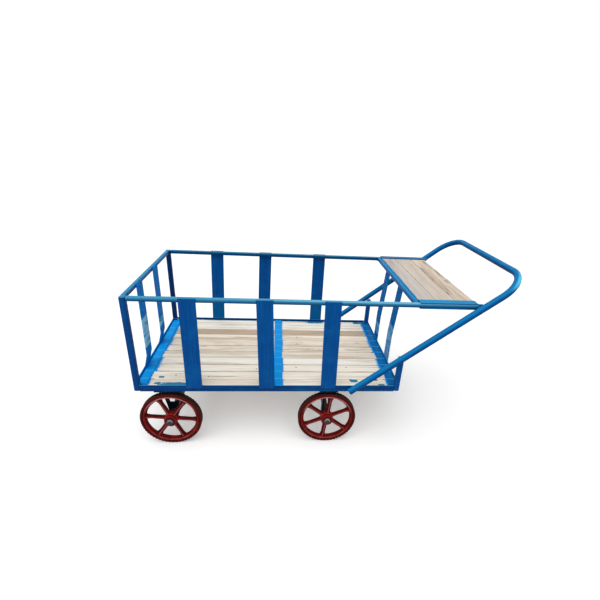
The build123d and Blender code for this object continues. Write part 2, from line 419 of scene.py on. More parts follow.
# middle x, middle y, half length, half width in metres from the deck frame's corner, raggedness
smears = [
    (0.178, 0.026, 0.078, 0.017, 2.60),
    (0.093, 0.036, 0.014, 0.008, 2.20),
    (0.098, 0.086, 0.012, 0.007, 2.20),
    (0.992, 0.058, 0.020, 0.012, 1.60),
    (1.090, 0.066, 0.022, 0.009, 2.00),
    (1.120, 0.022, 0.016, 0.010, 2.40),
    (0.862, 0.704, 0.052, 0.014, 2.60),
    (1.132, 0.702, 0.030, 0.012, 2.60),
    (0.600, 0.004, 0.600, 0.007, 1.20),
    (0.600, 0.720, 0.600, 0.008, 1.20),
]
# edges of the paint that was pulled off the flat bars on to the boards, board by board
fringes = [(0.000, 0.052, 0.013), (0.612, 0.6525, 0.008), (1.153, 1.200, -0.013)]

wood, tree, shader = finish_material("raw sawn deck boards")
place = object_place(tree)
deck_axes = parts_of(place)
lane = board_lane(place)
row = calc("FLOOR", lane)
brown_board = calc("COMPARE", row, 8.0, 0.3)
grey_board = calc("COMPARE", row, 4.0, 0.3)
fresh_board = larger(calc("COMPARE", row, 3.0, 0.3), above(row, 8.5))
older = plus(times(grey_board, 0.75), times(brown_board, 0.30))
older = minus(older, times(fresh_board, 0.25))
near_board = below(row, 2.5)
older = minus(older, times(near_board, 0.25))
chance = chance_of(row)
pale = mixed(chance, (0.92, 0.86, 0.73), (0.93, 0.83, 0.69))
pale = mixed(fresh_board, pale, (0.97, 0.94, 0.85))
pale = mixed(near_board, pale, (0.98, 0.92, 0.80))
pale = mixed(brown_board, pale, (0.56, 0.445, 0.340))
grain = use(
    tree, sawn,
    Grain=(3.0, 62.0, 62.0), Across=(260.0, 6.0, 6.0), Shift=times(row, 17.3),
    Pale=pale, Warm=(0.52, 0.39, 0.27), Grey=(0.60, 0.54, 0.46),
    Age=minus(older, 0.30), Cracks=0.5,
    Drift=minus(0.60, times(near_board, 0.25)),
)
# The sawn edges of each board have gone brown where they meet
from_joint = from_middle_of(lane)
wander = times(speckle(stretched(place, (9.0, 60.0, 60.0)), 1.0, 3.0, 0.6), 0.16)
seam = spread(plus(from_joint, wander), 0.50, 0.60)
joint_age = spread(chance_of(calc("FLOOR", plus(lane, 0.5))), 0.30, 0.95)
stain = times(seam, plus(times(joint_age, 0.85), 0.08))
wood_color = mixed(stain, grain["Color"], (0.27, 0.165, 0.095))
dark_grain = spread(speckle(stretched(place, (5.0, 150.0, 60.0)), 1.0, 3.0, 0.6), 0.48, 0.62)
dark_grain = times(dark_grain, plus(times(brown_board, 0.38), 0.06))
wood_color = mixed(dark_grain, wood_color, (0.30, 0.18, 0.10))

on_top = above(deck_axes["Z"], far_corner.z - paint_depth)
paint_mask = times(on_top, reduce(larger, [
    use(tree, dragged, Middle=deck_point(middle_x, middle_y, 0), Reach=(half_x, half_y, 1.0),
        Ragged=ragged_by)["Mask"]
    for middle_x, middle_y, half_x, half_y, ragged_by in smears
]))
streak = speckle(stretched(place, (20.0, 120.0, 60.0)), 1.0, 3.0, 0.6)
teal = mixed(streak, (0.002, 0.10, 0.22), (0.008, 0.27, 0.46))
painted = mixed(paint_mask, wood_color, teal)

deck_x = minus(deck_axes["X"], deck_low.x)
frayed = speckle(stretched(place, (60.0, 170.0, 60.0)), 1.0, 4.0, 0.75)
teeth = times(minus(frayed, 0.5), 2.8)
pulled = plus(teeth, times(chance, 0.9))
fringe_masks, thin_masks = [], []
for first, last, pull in fringes:
    reach = times(pulled, abs(pull))
    near_edge = minus(first, reach) if pull < 0 else first
    far_edge = plus(last, reach) if pull > 0 else last
    fringe_masks.append(times(above(deck_x, near_edge), below(deck_x, far_edge)))
    edge_x = first if pull < 0 else last
    past_edge = size_of(minus(deck_x, edge_x + 0.4 * pull))
    thin_masks.append(flip(spread(past_edge, 0.5 * abs(pull), 1.2 * abs(pull))))
fringe_mask = times(reduce(larger, fringe_masks), on_top)
thin_mask = times(reduce(larger, thin_masks), on_top)
thin_paint_and_bead_highlight = times(thin_mask, spread(pulled, 0.55, 1.05))
painted = mixed(times(thin_paint_and_bead_highlight, 0.75), painted, (0.33, 0.66, 0.80))
painted = mixed(times(thin_mask, seam), painted, (0.006, 0.045, 0.10))
fresh = mixed(spread(frayed, 0.34, 0.50), (0.002, 0.13, 0.34), (0.004, 0.30, 0.78))
painted = mixed(fringe_mask, painted, fresh)
covered = larger(paint_mask, fringe_mask)
dress(shader, minus(grain["Height"], seam), 0.0007, 0.6, Base_Color=painted,
      Roughness=minus(grain["Roughness"], times(covered, 0.3)), Specular_IOR_Level=0.2)
fit(boards, wood)


# Flat bars across the deck: they hold the boards down at both ends and near the middle, nailed
# through, and their thick fresh coat is the brightest blue on the cart.
strip_cuts = 44


def strip_paint(name, deep, bright):
    """Thick paint whose tone steps a little from board to board, paler where a board's edge shows."""
    material, tree, shader = finish_material(name)
    lane = board_lane(object_place(tree))
    coat = use(tree, brush, Stretch=stretch_y, Deep=deep, Bright=bright, Film=bright, Bleach=0.62)
    color = mixed(times(chance_of(calc("FLOOR", lane)), 0.15), coat["Color"], deep)
    line = times(spread(from_middle_of(lane), 0.44, 0.485), 0.65)
    dress(shader, plus(coat["Height"], line), 0.0006, 0.6,
          Base_Color=mixed(line, color, (0.09, 0.52, 0.82)),
          Roughness=coat["Roughness"], Specular_IOR_Level=0.03)
    return material


paint_strip = strip_paint("thick bright coat on the flat bars", (0.0015, 0.21, 0.62), (0.0040, 0.35, 0.88))
paint_strip_right = strip_paint("blue coat on the right flat bar", (0.001, 0.09, 0.34), (0.003, 0.19, 0.52))
for node, paint in (
    ("deck_strip_left", paint_strip),
    ("deck_strip_middle", paint_strip),
    ("deck_strip_right", paint_strip_right),
):
    bar = stock(node + "_bar", node)
    crosscut(bar, 1, strip_cuts)
    round_edges(bar, 0.0009, 2)
    warp(bar, 0.05, 0.0010, "X")
    fit(bar, paint)


# Nails: wire nails with flat heads, driven by hand into the boards and through the flat bars,
# their heads gone dark.
nail_radius = 0.0034
nail_height = 0.0010
# place along and across the deck, in metres from the frame's corner
loose_nails = [(0.158, 0.102), (0.309, 0.090), (0.721, 0.175),
               (0.737, 0.494), (0.975, 0.177), (0.527, 0.158)]
bar_places = (0.029, 0.632, 1.176)


def nail(x, y, z):
    bpy.ops.mesh.primitive_cylinder_add(vertices=10, radius=nail_radius, depth=nail_height,
                                        location=deck_point(x, y, z), rotation=(0.05, 0.04, x * 9.0))
    bpy.ops.object.mode_set(mode="EDIT")
    bpy.ops.mesh.bevel(offset=nail_height * 0.35, segments=1)
    bpy.ops.object.mode_set(mode="OBJECT")
    return bpy.context.object


def to_mesh_place(obj):
    """Keeps the mesh where it stands, with the object's origin at the frame's origin."""
    pick(obj)
    bpy.ops.object.transform_apply(location=True, rotation=True, scale=True)


def join(name, objects):
    """Several objects made one."""
    pick(*objects)
    bpy.ops.object.join()
    whole = bpy.context.object
    whole.name = name
    to_mesh_place(whole)
    return whole


deck_top = far_corner.z - deck_low.z
bar_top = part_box("deck_strip_left")[1].z - deck_low.z
bar_nails = []
for index in range(board_count):
    y = (corner.y - deck_low.y) + deck_across * (index + 0.5) / board_count
    for step, x in enumerate(bar_places):
        if 0 < index < board_count - 1 or step == 1:
            aslant_x, aslant_y = 0.004 * sin(7.0 * index + step), 0.006 * cos(5.0 * index)
            bar_nails.append(nail(x + aslant_x, y + aslant_y, bar_top))
fit(join("flat_bar_nails", bar_nails), paint_strip)
nails = join("deck_nails", [nail(x, y, deck_top + 0.0002) for x, y in loose_nails])

nail_steel, tree, shader = finish_material("dark nail heads")
spots = speckle(object_place(tree), 420.0, 3.0, 0.6)
feed(shader.inputs, Base_Color=mixed(spots, (0.05, 0.045, 0.04), (0.10, 0.07, 0.05)),
     Roughness=plus(times(spots, 0.3), 0.35), Metallic=0.7)
fit(nails, nail_steel)


# Posts and top rails: square hollow section with rounded corners. The left posts run full height,
# the right posts are cut off along the handle's legs, and the side rails reach on to the handle.
tube_edge_radius = 0.0055
stretch_z = (150.0, 150.0, 5.0)
rail_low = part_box("top_rail_near")[0]
paint_upright = blue_paint("blue gloss brushed up and down", stretch_z)
# Painted light on the near rail: its face is coloured pale as a painted highlight and stays dark only along
# its foot, and its sheen brightens toward the handle as a further painted highlight
paint_near_rail = blue_paint("blue gloss with painted highlight along the near rail", stretch_x,
                             deep=(0.050, 0.290, 0.500), bright=(0.060, 0.330, 0.540),
                             sheen_right=(0.170, 0.480, 0.680),
                             deep_low=((0.0008, 0.050, 0.180), rail_low.z + 0.004, rail_low.z + 0.019))
paint_far_rail = blue_paint("dull blue coat on the far rail", stretch_x, deep=(0.0008, 0.048, 0.165),
                            bright=(0.0060, 0.150, 0.360), film=(0.050, 0.260, 0.420))
paint_right_rail = blue_paint("blue gloss on the shelf's rail", stretch_y, film=(0.003, 0.250, 0.540))
paint_post = blue_paint("blue gloss on the left posts", stretch_z, deep=(0.0008, 0.050, 0.225),
                        bright=(0.0080, 0.200, 0.500))
# Painted shade: the far left post is coloured darker than the near one
paint_post_far = blue_paint("blue coat painted dark on the far left post", stretch_z, deep=(0.0006, 0.024, 0.120),
                            bright=(0.0050, 0.100, 0.280))
for node, paint in (
    ("post_near_left", paint_post),
    ("post_far_left", paint_post_far),
    ("post_near_right", paint_upright),
    ("post_far_right", paint_upright),
    ("top_rail_near", paint_near_rail),
    ("top_rail_far", paint_far_rail),
    ("top_rail_left", paint_across),
    ("top_rail_right", paint_right_rail),
):
    tube = stock(node + "_tube", node)
    round_edges(tube, tube_edge_radius, 3)
    fit(tube, paint)


# Slats: 70 mm flat bar, three on each long side and two at each end. The side slats are welded
# outside the rails. The end slats are bent to reach both rails, and keep patches of old pale paint.
# middle x, y, z in metres from the deck frame's corner, half height
old_patches = [
    (0.020, 0.185, 0.208, 0.072),
    (0.020, 0.420, 0.150, 0.024),
    (1.206, 0.268, 0.120, 0.105),
    (1.206, 0.504, 0.095, 0.030),
]
patchy, tree, shader = finish_material("end slats with old pale paint")
place = object_place(tree)
on_left = below(parts_of(place)["X"], 0.0)
# Painted light: the left end's slats, whose inner faces turn toward the light, are coloured lighter than
# the right end's, and so is their old pale paint
coat = use(
    tree, brush, Stretch=stretch_z, Film=sheen_blue, Bleach=0.5,
    Deep=mixed(on_left, (0.0008, 0.125, 0.42), (0.0008, 0.175, 0.58)),
    Bright=mixed(on_left, (0.004, 0.26, 0.66), (0.004, 0.32, 0.84)),
)
old = reduce(larger, [
    use(tree, dragged, Middle=deck_point(x, y, z), Reach=(0.1, 0.1, half_height), Ragged=0.35)["Mask"]
    for x, y, z, half_height in old_patches
])
bands = speckle(stretched(place, (9.0, 9.0, 46.0)), 1.0, 3.0, 0.6)
palest = mixed(on_left, (0.24, 0.46, 0.70), (0.34, 0.72, 0.95))
pale_paint = mixed(spread(bands, 0.40, 0.62), (0.035, 0.28, 0.62), palest)
dress(shader, coat["Height"], 0.0006, 0.6, Specular_IOR_Level=0.004,
      Base_Color=mixed(times(old, 0.85), coat["Color"], pale_paint),
      Roughness=plus(coat["Roughness"], times(old, 0.25)))
# The far slats are coloured paler toward the bottom
paint_far_slats = blue_paint("blue gloss paler low on the far slats", stretch_z,
                             deep_low=((0.0008, 0.095, 0.290), 0.38, 0.50))

for node, paint in (
    ("slats_near", paint_upright),
    ("slats_far", paint_far_slats),
    ("slats_left", patchy),
    ("slats_right", patchy),
):
    slats = stock(node + "_flat_bars", node)
    round_edges(slats, 0.0010, 2)
    fit(slats, paint)


# Push handle: one length of 30 mm tube bent cold into a hoop, its ends sawn square and left open
# beside the frame, welded where it passes the posts and where the side rails end on it.
handle_low, handle_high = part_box("handle_tube")
tube_radius = 0.015
tube_wall = 0.0025
handle_slope = radians(38.6)
bend_radius = 0.121
foot_drop = 0.008
near_axis = handle_low.y + tube_radius
far_axis = handle_high.y - tube_radius
foot = Vector((0, near_axis, deck_low.z + foot_drop))
top_x = handle_high.x - tube_radius
cross_run = (handle_high.z - tube_radius - foot.z) / sin(handle_slope)
foot.x = top_x - cross_run * cos(handle_slope)
uphill = Vector((cos(handle_slope), 0, sin(handle_slope)))
across = Vector((0, 1, 0))
bend_steps = 20


def hoop_points():
    """The tube's axis, from the near foot round both bends to the far foot."""
    points = [foot + uphill * (cross_run - bend_radius) * step / 12 for step in range(12)]
    centre = foot + uphill * (cross_run - bend_radius) + across * bend_radius
    for step in range(bend_steps + 1):
        turn = pi / 2 * step / bend_steps
        points.append(centre - across * bend_radius * cos(turn) + uphill * bend_radius * sin(turn))
    middle_y = (near_axis + far_axis) / 2
    return points + [Vector((p.x, 2 * middle_y - p.y, p.z)) for p in reversed(points)]


def tube_along(name, points, radius, sides, radii=None):
    """A round tube or bead along a line of points, made a mesh."""
    curve = bpy.data.curves.new(name, "CURVE")
    curve.dimensions = "3D"
    curve.bevel_depth = radius
    curve.bevel_resolution = sides
    line = curve.splines.new("POLY")
    line.points.add(len(points) - 1)
    for index, point in enumerate(points):
        line.points[index].co = (*point, 1)
        line.points[index].radius = radii[index] if radii else 1.0
    pick(add(name, curve))
    bpy.ops.object.convert(target="MESH")
    return bpy.context.object


hoop = tube_along("push_handle", hoop_points(), tube_radius, 8)
work(hoop, "SOLIDIFY", thickness=tube_wall, offset=-1)
bpy.ops.object.shade_smooth_by_angle(angle=radians(35))
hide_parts("handle_tube")

paint_handle, tree, shader = finish_material("blue gloss on the push handle")
coat = use(tree, brush, Stretch=(22.0, 60.0, 22.0), Deep=(0.0008, 0.080, 0.300),
           Bright=(0.004, 0.20, 0.50), Film=(0.006, 0.205, 0.480), Bleach=0.85)
place = object_place(tree)
handle_axes = parts_of(place)
held = times(spread(handle_axes["Z"], 0.78, 0.84), spread(speckle(place, 38.0, 5.0, 0.7), 0.50, 0.66))
color = mixed(times(held, 0.30), coat["Color"], (0.04, 0.36, 0.60))
skin = surface_normal(tree)
shaded = flip(spread(parts_of(skin)["Z"], -0.55, 0.30))
color = mixed(times(shaded, 0.70), color, (0.0005, 0.030, 0.110))
# Painted highlight: the outer upper side of the near bend is coloured pale
toward_light = vectors("DOT_PRODUCT", skin, (0.50, -0.40, 0.77)).node.outputs["Value"]
on_bend = times(spread(handle_axes["X"], top_x - 0.12, top_x - 0.04),
                flip(spread(handle_axes["Y"], near_axis + 0.02, near_axis + 0.13)))
bend_highlight = times(on_bend, spread(toward_light, 0.62, 0.95))
color = mixed(times(bend_highlight, 0.85), color, (0.13, 0.66, 0.95))
dress(shader, coat["Height"], 0.0005, 0.6, Base_Color=color,
      Roughness=minus(coat["Roughness"], times(held, 0.12)), Specular_IOR_Level=0.035)
fit(hoop, paint_handle)


# Shelf: three short boards laid across the cart behind the load, weathered grey, held down at both
# ends by a flat bar and carried on a bearer of light angle below.
shelf = stock("shelf_planks", "shelf_boards")
crosscut(shelf, 1, 18)
round_edges(shelf, board_edge, 2, 60)
warp(shelf, 0.13, 0.0013)
shelf_low, shelf_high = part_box("shelf_boards")

grey_wood, tree, shader = finish_material("weathered shelf boards")
place = object_place(tree)
shelf_axes = parts_of(place)
plank_count = 3
lane = times(minus(shelf_axes["X"], shelf_low.x), plank_count / (shelf_high.x - shelf_low.x))
plank = calc("FLOOR", lane)
warm_plank = times(plank, 0.5)
plank_pale = mixed(warm_plank, (0.60, 0.55, 0.50), (0.74, 0.62, 0.50))
grain = use(
    tree, sawn,
    Grain=(75.0, 3.4, 75.0), Across=(6.0, 240.0, 6.0), Shift=times(plank, 11.9),
    Pale=plank_pale, Warm=(0.36, 0.26, 0.19), Grey=(0.50, 0.47, 0.44), Age=-0.10,
    Cracks=0.95, Drift=0.55,
)
# middle x and y from the shelf's left edge and the frame's near side, half length, half width, raggedness
rim_smears = [
    (0.127, 0.020, 0.20, 0.024, 0.35),
    (0.127, 0.704, 0.20, 0.026, 0.35),
    (-0.004, 0.362, 0.012, 0.40, 1.2),
]
rim_paint = reduce(larger, [
    use(tree, dragged, Middle=(shelf_low.x + x, deck_low.y + y, 0), Reach=(half_x, half_y, 1.0),
        Ragged=ragged_by)["Mask"]
    for x, y, half_x, half_y, ragged_by in rim_smears
])
rim_paint = times(rim_paint, above(shelf_axes["Z"], shelf_high.z - paint_depth))
dress(shader, grain["Height"], 0.0012, 0.9, Roughness=grain["Roughness"],
      Base_Color=mixed(rim_paint, grain["Color"], (0.010, 0.26, 0.58)))
fit(shelf, grey_wood)

paint_shelf = blue_paint("blue coat on the shelf's flat bars", stretch_x,
                         deep=(0.002, 0.10, 0.34), bright=(0.012, 0.25, 0.52),
                         film=(0.002, 0.290, 0.575), dust=0.06)
paint_shelf_far = blue_paint("dull blue coat on the shelf's far flat bars", stretch_x,
                             deep=(0.001, 0.06, 0.20), bright=(0.006, 0.13, 0.32),
                             film=(0.002, 0.135, 0.320), dust=0.06)
for node, paint in (
    ("shelf_strip_near", paint_shelf),
    ("shelf_strip_far", paint_shelf_far),
    ("shelf_bearer_near", paint_shelf),
    ("shelf_bearer_far", paint_shelf_far),
):
    bar = stock(node + "_bar", node)
    crosscut(bar, 0, 16)
    round_edges(bar, 0.0009, 2)
    warp(bar, 0.06, 0.0012, "Y")
    fit(bar, paint)


# Welds: short beads laid by hand with a stick electrode at every joint that shows, lumpy from
# the dabs of the rod and brushed over with the same blue paint.
bead = 0.0026
bead_step = 0.0032
cage_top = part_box("post_near_left")[1].z - deck_low.z
deck_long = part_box("post_near_right")[1].x - deck_low.x
deck_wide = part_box("post_far_left")[1].y - deck_low.y
rail_size = 0.020
post_size = 0.025
under_rail = cage_top - rail_size
angle_top = 0.032
short_post = deck_long - post_size
shelf_rail = deck_long + 0.025
half_slat = 0.035
slat_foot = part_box("slats_near")[0].z - deck_low.z
# place of each slat's foot and head
near_slats = [(0.262, 0.262), (0.582, 0.571), (0.862, 0.854)]
far_slats = [(0.268, 0.279), (0.543, 0.552), (0.864, 0.864)]
left_slats = (0.185, 0.420)
right_slats = (0.268, 0.504)
handle_meets = 1.511
handle_from = handle_meets - rail_size / tan(handle_slope)
leg_x = foot.x - deck_low.x


def weld(start, end):
    """A bead between two points of the deck frame, with the ripple of each dab of the rod."""
    a, b = deck_point(*start), deck_point(*end)
    count = max(4, int((b - a).length / bead_step) * 2)
    points = [a.lerp(b, index / count) for index in range(count + 1)]
    radii = [0.82 + 0.2 * (index % 2) + 0.10 * sin(3.7 * index + 50 * start[0])
             for index in range(count + 1)]
    radii[0] = radii[-1] = 0.35
    return tube_along("weld_bead", points, bead, 2, radii)


def across_x(x, y, z):
    """The two ends of a bead along the cart, as long as a slat is wide."""
    return (x - half_slat, y, z), (x + half_slat, y, z)


def across_y(x, y, z):
    """The two ends of a bead across the cart, as long as a slat is wide."""
    return (x, y - half_slat, z), (x, y + half_slat, z)


lines = []
for row, y, outside in ((near_slats, 0.0, -0.003), (far_slats, deck_wide, 0.003)):
    for foot_x, head_x in row:
        lines += [across_x(head_x, y, cage_top - 0.001), across_x(foot_x, y + outside, slat_foot)]
for y in left_slats:
    lines += [across_y(rail_size, y, cage_top), across_y(0.004, y, angle_top)]
for y in right_slats:
    lines += [across_y(deck_long + 0.018, y, under_rail), across_y(deck_long + 0.002, y, slat_foot)]
for y, inside in ((0.0, 1), (deck_wide, -1)):
    rail_in = y + inside * rail_size
    post_in = y + inside * post_size
    lines += [
        ((post_size, y + inside * 0.003, under_rail), (post_size, rail_in, under_rail)),
        ((0.003, post_in, under_rail), (rail_size, post_in, under_rail)),
        ((post_size, y + inside * 0.004, angle_top), (post_size, post_in, angle_top)),
        ((0.004, post_in, angle_top), (post_size, post_in, angle_top)),
        ((short_post, y + inside * 0.004, angle_top), (short_post, post_in, angle_top)),
        ((deck_long + 0.005, rail_in, under_rail), (shelf_rail, rail_in, under_rail)),
        ((shelf_rail, rail_in, under_rail), (shelf_rail, rail_in, cage_top - 0.002)),
        ((handle_from - 0.010, y, under_rail), (handle_meets + 0.002, y, under_rail + 0.008)),
        ((handle_from - 0.004, y, cage_top), (handle_meets + 0.014, y, cage_top)),
        ((leg_x + 0.006, y, 0.030), (leg_x + 0.040, y, 0.033)),
    ]
beads = join("painted_welds", [weld(start, end) for start, end in lines])
bpy.ops.object.shade_smooth_by_angle(angle=radians(60))
paint_weld = blue_paint("paint over the welds", (60.0, 60.0, 60.0), bleach=0.45, chip=0.05, dust=0.15)
fit(beads, paint_weld)


# Axles and hangers: a square bar under each end of the cart, turned down to a journal at both ends,
# lying in straps folded from flat bar and welded to a plate under the side rail.
dark_steel, tree, shader = finish_material("dark mill scale and road dirt")
place = object_place(tree)
scale = speckle(place, 60.0, 5.0, 0.65)
dirt = speckle(place, 14.0, 4.0, 0.6)
color = mixed(spread(scale, 0.4, 0.7), (0.030, 0.028, 0.028), (0.075, 0.045, 0.030))
color = mixed(times(spread(dirt, 0.45, 0.7), 0.25), color, (0.16, 0.14, 0.12))
dress(shader, scale, 0.0006, 0.7, Base_Color=color, Roughness=plus(times(scale, 0.3), 0.45), Metallic=0.35)

# The hangers are coloured near black, with dust and chips
paint_hanger = blue_paint("near-black coat on the hangers", stretch_z, deep=(0.004, 0.007, 0.018),
                          bright=(0.01, 0.03, 0.08), film=(0.02, 0.05, 0.10), bleach=0.3, chip=0.12,
                          dust=0.10)
for end in ("left", "right"):
    axle = stock("axle_bar_" + end, "axle_" + end)
    round_edges(axle, 0.0012, 2, 40)
    fit(axle, dark_steel)
    for side in ("near", "far"):
        node = "hanger_" + side + "_" + end
        strap = stock(node + "_strap", node)
        round_edges(strap, 0.0015, 2)
        fit(strap, paint_hanger)

# The left straps stand wide apart, so a small gusset plate closes the foot of each V
gusset_thick = 0.006
gusset_low = 0.014
gusset_high = 0.050
gusset_foot = 0.014
gusset_head = 0.0215
gusset_from_rail = 0.070
axle_low, axle_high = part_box("axle_left")
axle_middle = (axle_low + axle_high) / 2
for side in ("near", "far"):
    hanger_low, hanger_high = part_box("hanger_" + side + "_left")
    gusset_y = hanger_low.y + gusset_from_rail if side == "near" else hanger_high.y - gusset_from_rail
    bpy.ops.mesh.primitive_cube_add(size=1.0, location=(
        axle_middle.x, gusset_y, axle_middle.z + (gusset_low + gusset_high) / 2))
    gusset = bpy.context.object
    gusset.name = "gusset_" + side + "_left"
    gusset.scale = (2 * gusset_head, gusset_thick, gusset_high - gusset_low)
    for vertex in gusset.data.vertices:
        if vertex.co.z < 0:
            vertex.co.x *= gusset_foot / gusset_head
    to_mesh_place(gusset)
    round_edges(gusset, 0.0008, 2)
    fit(gusset, paint_hanger)


# Wheels: cast in one piece with six spokes, each a flat web with a rib across it, a deep hub and a
# rolled bead round the rim, dipped in dark red paint that runs thin over the rough sand skin.
wheel_low, wheel_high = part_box("wheel_near_left")
wheel_centre = (wheel_low + wheel_high) / 2
casting_radius = (wheel_high.x - wheel_low.x) / 2
hub_out = 0.014
hub_in = 0.010
wheel_wide = (wheel_high.y - wheel_low.y) - hub_out - hub_in
tyre_low, tyre_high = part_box("tyre_near_left")
tyre_radius = (tyre_high.x - tyre_low.x) / 2
spoke_count = 6
voxel = 0.0017


def spun(radius, y, half_radial, half_axial, sides=0, steps=96):
    """A ring about the Y axis with a plain or round section, spun from a plane or a circle."""
    if sides:
        bpy.ops.mesh.primitive_circle_add(vertices=sides, radius=half_radial, location=(radius, y, 0))
    else:
        bpy.ops.mesh.primitive_plane_add(size=2.0, location=(radius, y, 0))
        bpy.context.object.scale = (half_radial, half_axial, 1)
    obj = bpy.context.object
    to_mesh_place(obj)
    edit_all()
    if not sides:
        bpy.ops.mesh.delete(type="ONLY_FACE")
        select_all()
    bpy.ops.mesh.spin(steps=steps, angle=2 * pi, center=(0, 0, 0), axis=(0, 1, 0))
    select_all()
    bpy.ops.mesh.remove_doubles(threshold=0.00001)
    bpy.ops.mesh.normals_make_consistent(inside=False)
    bpy.ops.object.mode_set(mode="OBJECT")
    return obj


def drum(radius_out, radius_in, y0, y1):
    """A solid cone or cylinder about the Y axis from y0 to y1."""
    bpy.ops.mesh.primitive_cone_add(vertices=48, radius1=radius_in, radius2=radius_out, depth=y1 - y0,
                                    location=(0, (y0 + y1) / 2, 0), rotation=(pi / 2, 0, 0))
    return bpy.context.object


def spoke_plate(widths, half_thick, is_rib, turn):
    """One tapered plate along X with its widths at the hub, the waists and the rim."""
    places = (0.010, 0.038, 0.091, 0.113)
    bpy.ops.mesh.primitive_cube_add(size=2.0)
    obj = bpy.context.object
    obj.scale = ((places[-1] - places[0]) / 2, 0.5, half_thick)
    obj.location = ((places[-1] + places[0]) / 2, 0, 0)
    to_mesh_place(obj)
    for place in places[1:-1]:
        edit_all()
        bpy.ops.mesh.bisect(plane_co=(place, 0, 0), plane_no=(1, 0, 0))
        bpy.ops.object.mode_set(mode="OBJECT")
    for vertex in obj.data.vertices:
        nearest = min(range(len(places)), key=lambda i: abs(places[i] - vertex.co.x))
        vertex.co.y *= widths[nearest]
    if not is_rib:
        obj.rotation_euler = (pi / 2, 0, 0)
        to_mesh_place(obj)
    obj.rotation_euler = (0, turn, 0)
    to_mesh_place(obj)
    return obj


middle = wheel_wide / 2
raw = [
    spun(casting_radius - 0.0072, middle, 0.0070, middle - 0.004),
    spun(casting_radius - 0.0075, 0.0072, 0.0062, 0, 14),
    spun(casting_radius - 0.0075, wheel_wide - 0.0072, 0.0062, 0, 14),
    spun(casting_radius - 0.0140, middle, 0.0050, 0.0045),
    drum(0.0290, 0.0190, -hub_out, 0.002),
    drum(0.0300, 0.0290, 0.002, middle),
    drum(0.0235, 0.0300, middle, wheel_wide - 0.004),
    drum(0.0215, 0.0185, wheel_wide - 0.004, wheel_wide + hub_in),
]
for index in range(spoke_count):
    turn = 2 * pi * index / spoke_count
    for widths, half_thick, is_rib in (
        ((0.036, 0.0225, 0.0205, 0.030), 0.0034, False),
        ((0.042, 0.0270, 0.0250, 0.027), 0.0030, True),
    ):
        plate = spoke_plate(widths, half_thick, is_rib, turn)
        plate.location = (0, middle, 0)
        raw.append(plate)
casting = join("wheel_pattern", raw)
work(casting, "REMESH", mode="VOXEL", voxel_size=voxel)
work(casting, "SMOOTH", factor=0.6, iterations=5)
work(casting, "DECIMATE", ratio=0.45)
bpy.ops.object.shade_smooth()

# Tyre: a solid rubber band with square shoulders and a moulded tread of three rows of blocks
block_rows = 3
block_steps = 54
tread_depth = 0.0035
band_radius = (tyre_radius + casting_radius) / 2 - tread_depth / 2
raw = [spun(band_radius, middle, (tyre_radius - casting_radius - tread_depth) / 2, middle, 0, 108)]
round_edges(raw[0], 0.0015, 2)
row_wide = wheel_wide / block_rows
for step in range(block_steps):
    for row_index in range(block_rows):
        turn = 2 * pi * (step + 0.5 * (row_index % 2)) / block_steps
        bpy.ops.mesh.primitive_cube_add(size=1.0)
        block = bpy.context.object
        block.scale = (tread_depth + 0.001, row_wide - 0.0026, 2 * pi * tyre_radius / block_steps - 0.0034)
        block.location = (tyre_radius - (tread_depth + 0.001) / 2 - 0.0004, row_wide * (row_index + 0.5), 0)
        to_mesh_place(block)
        block.rotation_euler = (0, turn, 0)
        raw.append(block)
tread = join("tyre_pattern", raw)
round_edges(tread, 0.0006, 1)

# Distance from the nearer axle, for paint that follows the rings of a wheel
axle_left_x = (wheel_low.x + wheel_high.x) / 2
right_low, right_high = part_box("wheel_near_right")
axle_right_x = (right_low.x + right_high.x) / 2
from_axle, entry, leave = group("distance from the axle", {}, {"Float": "Radius"})
axes = parts_of(object_place(from_axle))
from_middle = minus(axes["X"], (axle_left_x + axle_right_x) / 2)
dx = minus(size_of(from_middle), (axle_right_x - axle_left_x) / 2)
dz = minus(axes["Z"], wheel_centre.z)
square = plus(times(dx, dx), times(dz, dz))
feed(leave, Radius=calc("SQRT", square))

tyre_outer = -tyre_low.y
bead_radius = 0.1205
cast_red, tree, shader = finish_material("dark red paint on a sand casting")
place = object_place(tree)
grit = speckle(place, 260.0, 4.0, 0.6)
runs = speckle(place, 30.0, 4.0, 0.6)
bumpy = put(tree, "NewGeometry").outputs["Pointiness"]
radius = use(tree, from_axle)["Radius"]
color = mixed(spread(runs, 0.35, 0.7), (0.085, 0.0015, 0.0015), (0.19, 0.003, 0.003))
hub_paint = flip(spread(radius, 0.022, 0.050))
color = mixed(times(hub_paint, 0.75), color, (0.30, 0.002, 0.002))
# Painted shade in the casting's hollows and a painted highlight on its crests
hollow_shade = flip(spread(bumpy, 0.44, 0.495))
color = mixed(times(hollow_shade, 0.75), color, (0.022, 0.003, 0.003))
crest_highlight = spread(bumpy, 0.515, 0.57)
color = mixed(times(crest_highlight, 0.30), color, (0.34, 0.055, 0.050))
# Painted highlight: a pink ring on the bead, brighter on the wheel's top and bottom arcs
bead_ring = flip(spread(size_of(minus(radius, bead_radius)), 0.0015, 0.0050))
thin_paint_and_bead_highlight = times(bead_ring, spread(runs, 0.22, 0.60))
wheel_axes = parts_of(place)
from_level = size_of(minus(wheel_axes["Z"], wheel_centre.z))
bead_highlight_red = mixed(spread(from_level, 0.03, 0.10), (0.22, 0.014, 0.014), (0.42, 0.075, 0.065))
color = mixed(times(thin_paint_and_bead_highlight, 0.65), color, bead_highlight_red)
# A paler pink painted highlight on the upward faces of the bead's upper arc
skin_z = parts_of(surface_normal(tree))["Z"]
upper = times(spread(wheel_axes["Z"], wheel_centre.z + 0.02, wheel_centre.z + 0.12), 0.75)
bead_top_highlight = times(times(bead_ring, upper), spread(skin_z, -0.75, 0.10))
color = mixed(bead_top_highlight, color, (0.66, 0.32, 0.32))
